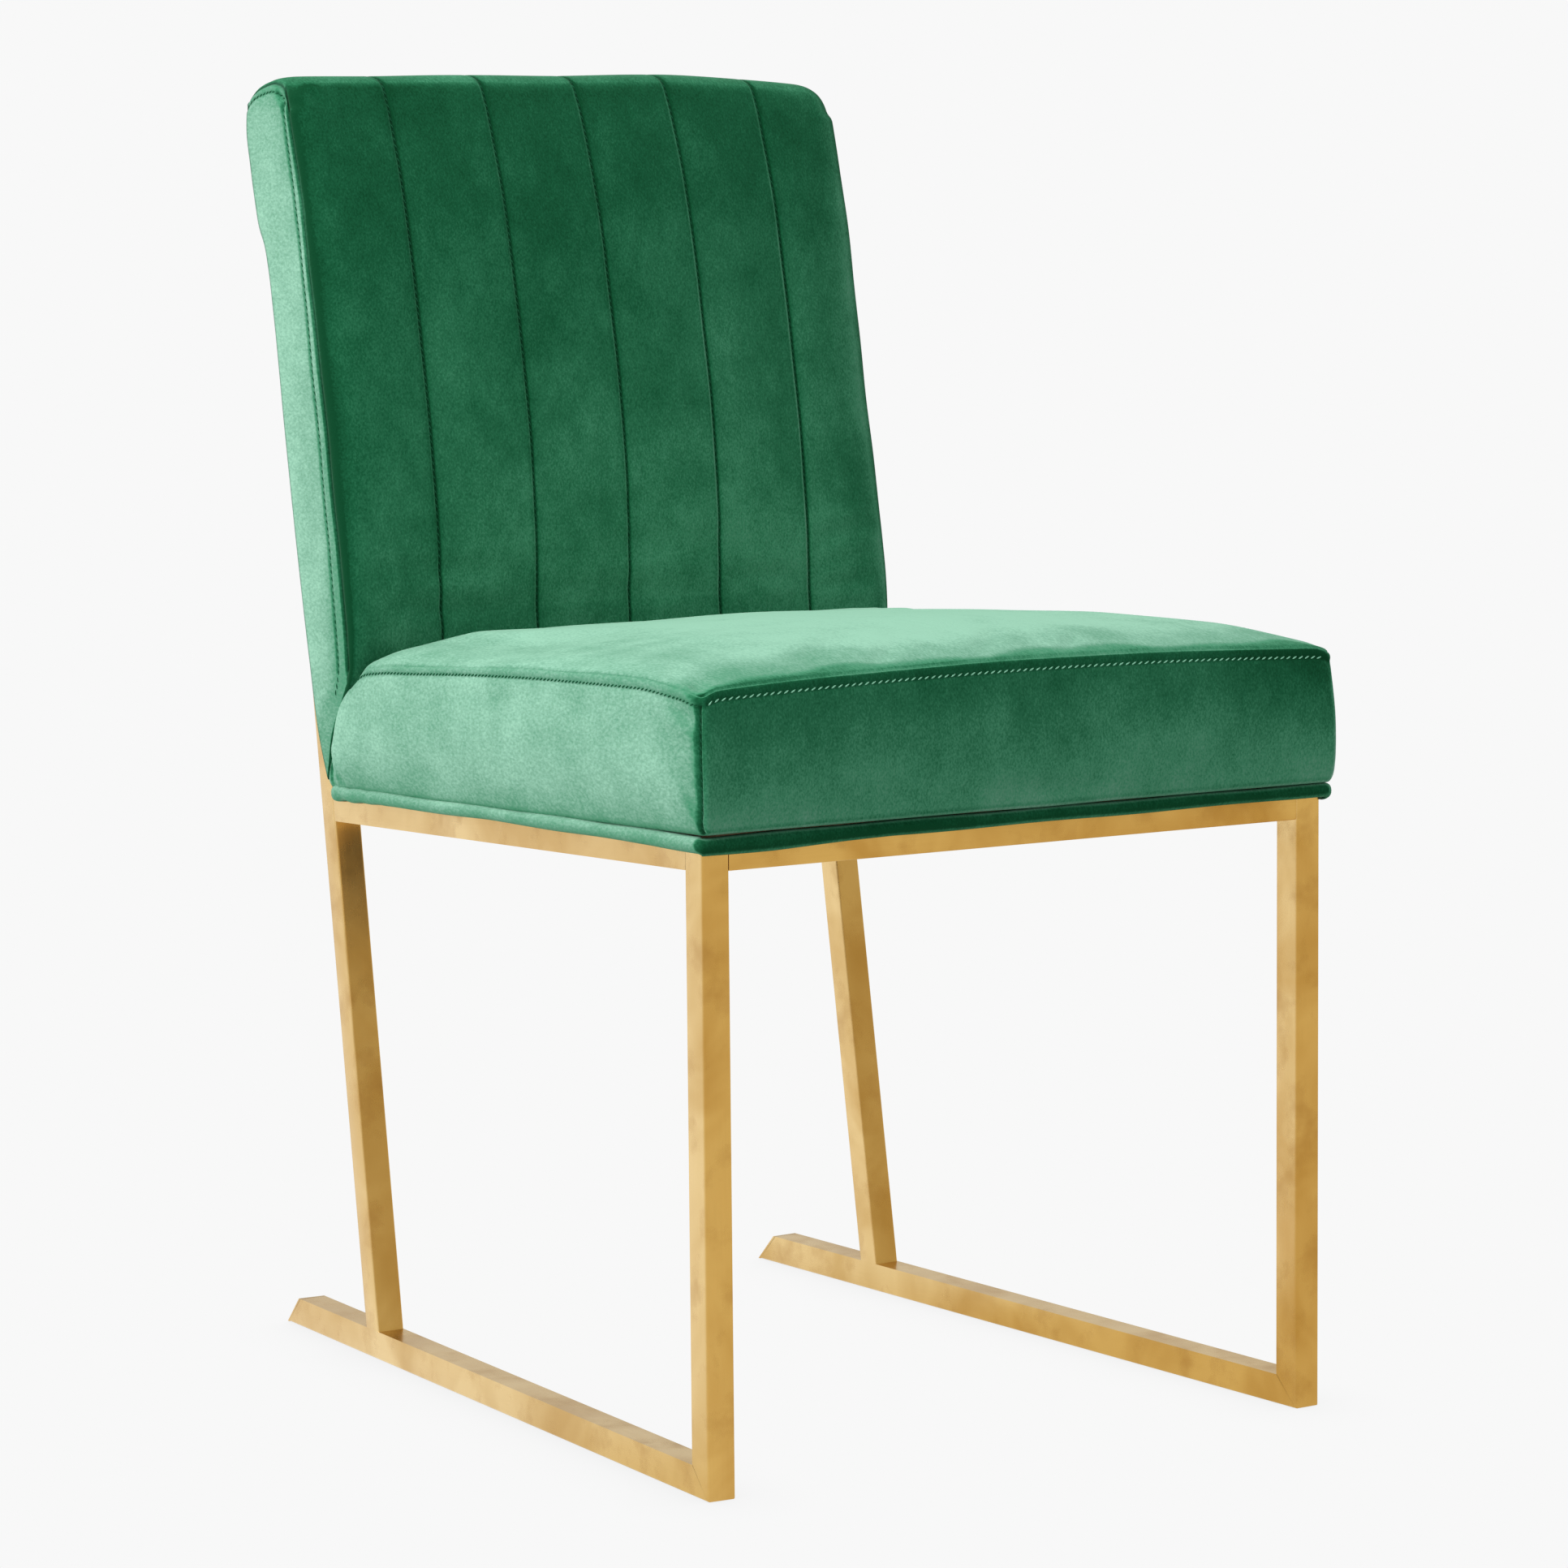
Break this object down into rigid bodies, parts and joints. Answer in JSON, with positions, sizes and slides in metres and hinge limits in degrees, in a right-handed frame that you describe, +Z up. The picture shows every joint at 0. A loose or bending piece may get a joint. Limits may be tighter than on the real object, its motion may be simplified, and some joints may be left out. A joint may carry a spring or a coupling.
{
  "type": "dining chair",
  "caption": "Dining chair with a gold square-tube frame on floor runners, a boxed velvet seat and a channel-stitched velvet backrest with a hood over its posts.",
  "frame": {"origin": "centre of the chair's footprint, on the floor under the runners", "axes": "+Z up; -Y towards the front of the seat; +X to the right of a person looking at the back of the chair"},
  "size_m": [0.4954, 0.6538, 0.8945],
  "materials": {
    "gold_metal": "satin",
    "zinc_steel": "satin",
    "velvet": "matte",
    "plywood": "matte",
    "foam": "matte",
    "black_cloth": "matte"
  },
  "bodies": {
    "root": {"left_front_leg": "gold_metal", "right_front_leg": "gold_metal", "left_floor_runner": "gold_metal", "right_floor_runner": "gold_metal", "left_runner_end_cap": "gold_metal", "right_runner_end_cap": "gold_metal", "left_rear_leg_and_back_post": "gold_metal", "right_rear_leg_and_back_post": "gold_metal", "left_seat_side_rail": "gold_metal", "right_seat_side_rail": "gold_metal", "front_seat_rail": "gold_metal", "rear_seat_rail": "gold_metal", "top_back_rail": "gold_metal", "front_left_seat_tab": "gold_metal", "front_right_seat_tab": "gold_metal", "rear_left_seat_tab": "gold_metal", "rear_right_seat_tab": "gold_metal", "lower_left_backrest_bolt": "gold_metal", "lower_right_backrest_bolt": "gold_metal", "upper_left_backrest_bolt": "gold_metal", "upper_right_backrest_bolt": "gold_metal", "front_left_seat_bolt": "zinc_steel", "front_right_seat_bolt": "zinc_steel", "rear_left_seat_bolt": "zinc_steel", "rear_right_seat_bolt": "zinc_steel", "seat_cover": "velvet", "seat_welt": "velvet", "backrest_cover": "velvet", "backrest_rear_panel": "velvet", "seat_board": "plywood", "backrest_board": "plywood", "seat_foam": "foam", "backrest_foam": "foam", "backrest_hood_pad": "foam", "seat_dust_cover": "black_cloth"}
  },
  "joints": []
}
